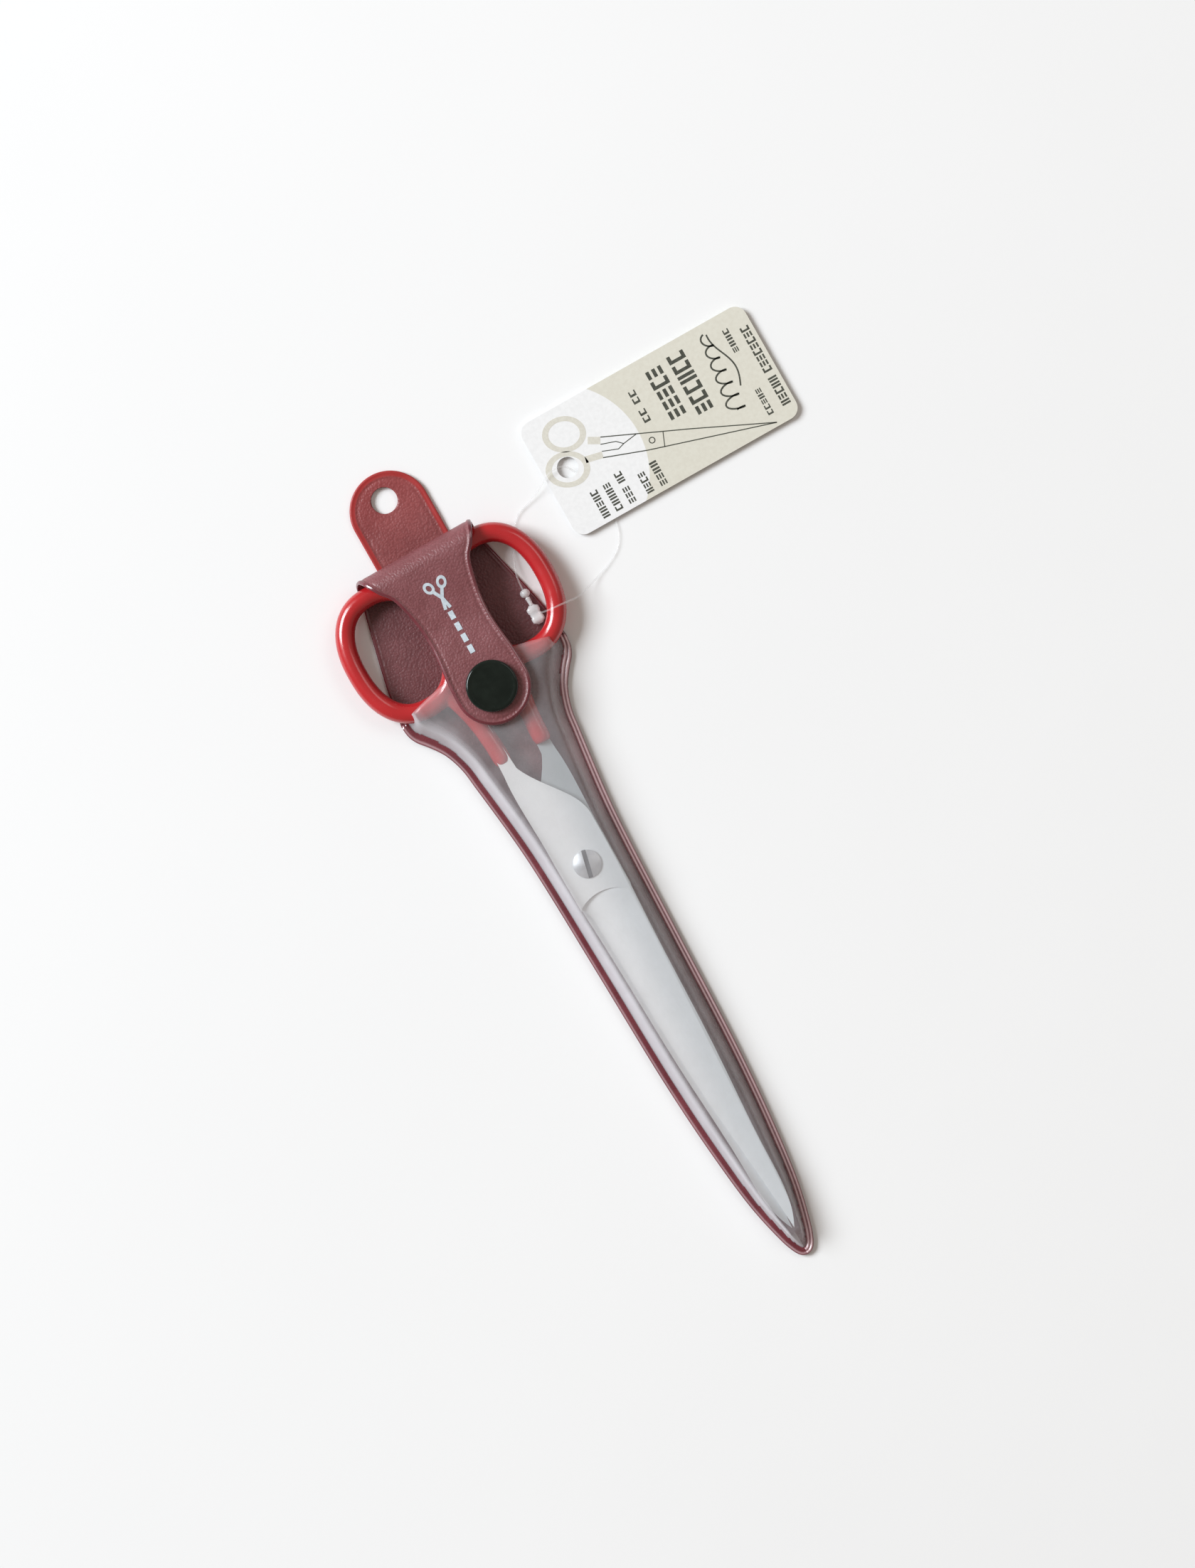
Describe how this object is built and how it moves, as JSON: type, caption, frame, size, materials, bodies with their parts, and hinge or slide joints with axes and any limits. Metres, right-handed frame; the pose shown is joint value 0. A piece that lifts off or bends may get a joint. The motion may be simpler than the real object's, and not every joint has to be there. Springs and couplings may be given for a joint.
{
  "type": "scissors",
  "caption": "Long straight scissors with dipped finger rings, closed in a soft sheath with a snap strap and hang tab, with a swing tag on a nylon loop.",
  "frame": {"origin": "on the surface the sheath's back rests on, below the middle of the bounding box of the object without its swing tag and loop; the blades' pivot is 0.6 mm further along +Y", "axes": "+Y along the sheath from the blade tips to the hang tab, +Z from the back panel to the front, +X to the right when seen from the front"},
  "size_m": [0.1476, 0.2508, 0.013],
  "materials": {
    "steel": "satin polished",
    "red_rubber": "glossy dipped coating",
    "grained_vinyl": "fine leather-like grain, low sheen",
    "tab_vinyl": "fine grain with a smooth welded border",
    "clear_vinyl": "smoky, frosted on the inside",
    "snap_black": "high gloss",
    "snap_metal": "plated, satin",
    "screw_steel": "turned",
    "card": "uncoated, printed",
    "nylon": "clear moulded"
  },
  "bodies": {
    "sheath": {"sheath_back_panel": "grained_vinyl", "hang_tab": "tab_vinyl", "sheath_front_panel": "clear_vinyl", "strap_fold": "grained_vinyl", "snap_stud": "snap_metal", "snap_post": "snap_metal"},
    "strap": {"strap_flap": "grained_vinyl", "snap_cap": "snap_black", "snap_socket": "snap_metal"},
    "pivot": {"pivot_screw": "screw_steel", "pivot_nut": "screw_steel"},
    "front_half": {"front_blade": "steel", "front_grip": "red_rubber"},
    "rear_half": {"rear_blade": "steel", "rear_grip": "red_rubber", "tag_loop": "nylon", "loop_lock": "nylon", "loop_bead": "nylon"},
    "tag": {"swing_tag": "card"}
  },
  "joints": [
    {"name": "strap_open", "type": "hinge", "parent": "sheath", "child": "strap", "pos_m": [0.0014, 0.0952, 0.0056], "axis": [-1, 0, 0], "range_deg": [0, 130], "deforming": ["strap_fold"]},
    {"name": "draw_out", "type": "slide", "parent": "sheath", "child": "pivot", "axis": [0, 1, 0], "range_m": [0, 0.32], "deforming": ["strap_fold"]},
    {"name": "front_blade_open", "type": "hinge", "parent": "pivot", "child": "front_half", "pos_m": [0, 0.0006, 0.0044], "axis": [0, 0, 1], "range_deg": [0, 8.5]},
    {"name": "rear_blade_open", "type": "hinge", "parent": "pivot", "child": "rear_half", "pos_m": [0, 0.0006, 0.0044], "axis": [0, 0, 1], "range_deg": [-8.5, 0]},
    {"name": "tag_swing", "type": "hinge", "parent": "rear_half", "child": "tag", "pos_m": [0.05, 0.1001, 0.0012], "axis": [0, 0, 1], "range_deg": [-20, 20]}
  ],
  "couplings": [
    {"joint": "front_blade_open", "follows": "draw_out", "rad_per_m": 0.45},
    {"joint": "rear_blade_open", "follows": "draw_out", "rad_per_m": -0.45}
  ]
}
